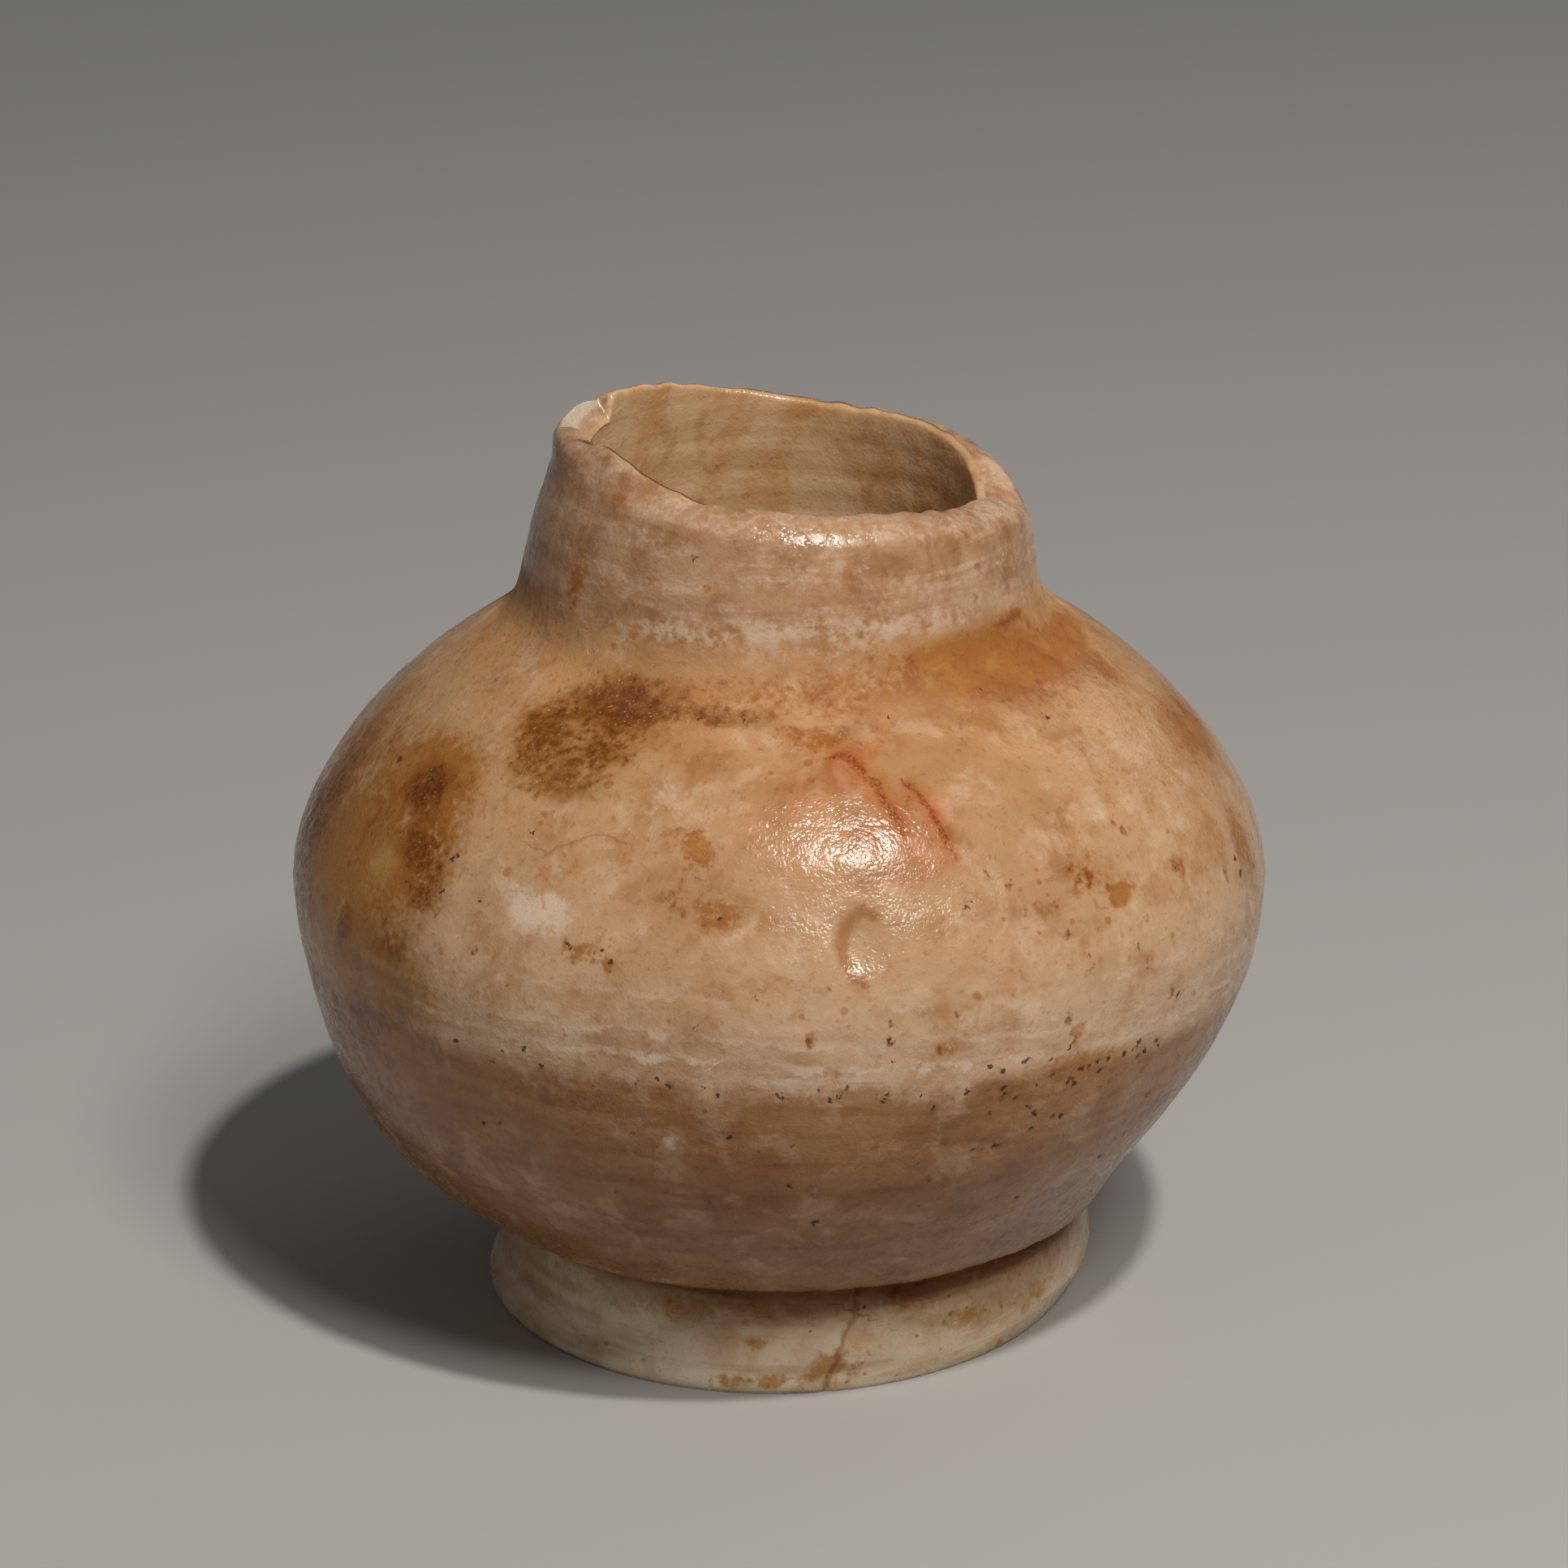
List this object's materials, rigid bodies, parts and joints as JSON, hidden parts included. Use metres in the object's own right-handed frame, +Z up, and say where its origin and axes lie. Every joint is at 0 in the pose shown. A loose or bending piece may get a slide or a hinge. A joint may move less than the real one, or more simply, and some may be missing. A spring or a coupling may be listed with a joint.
{
  "type": "kohl jar",
  "caption": "Small squat carved stone jar for eye paint, with a low disc foot, a full round body, a short neck with a broken rim, and a drilled hollow.",
  "frame": {"origin": "on the ground, under the middle of the body", "axes": "+Z up through the mouth; -Y towards the viewer of the picture, +X to the right in it, where the rim is lowest"},
  "size_m": [0.05, 0.05, 0.0465],
  "materials": {
    "banded_alabaster": "worn waxy polish, translucent cream to tan stone with brown and rust stains"
  },
  "bodies": {
    "root": {"kohl_jar": "banded_alabaster"}
  },
  "joints": []
}
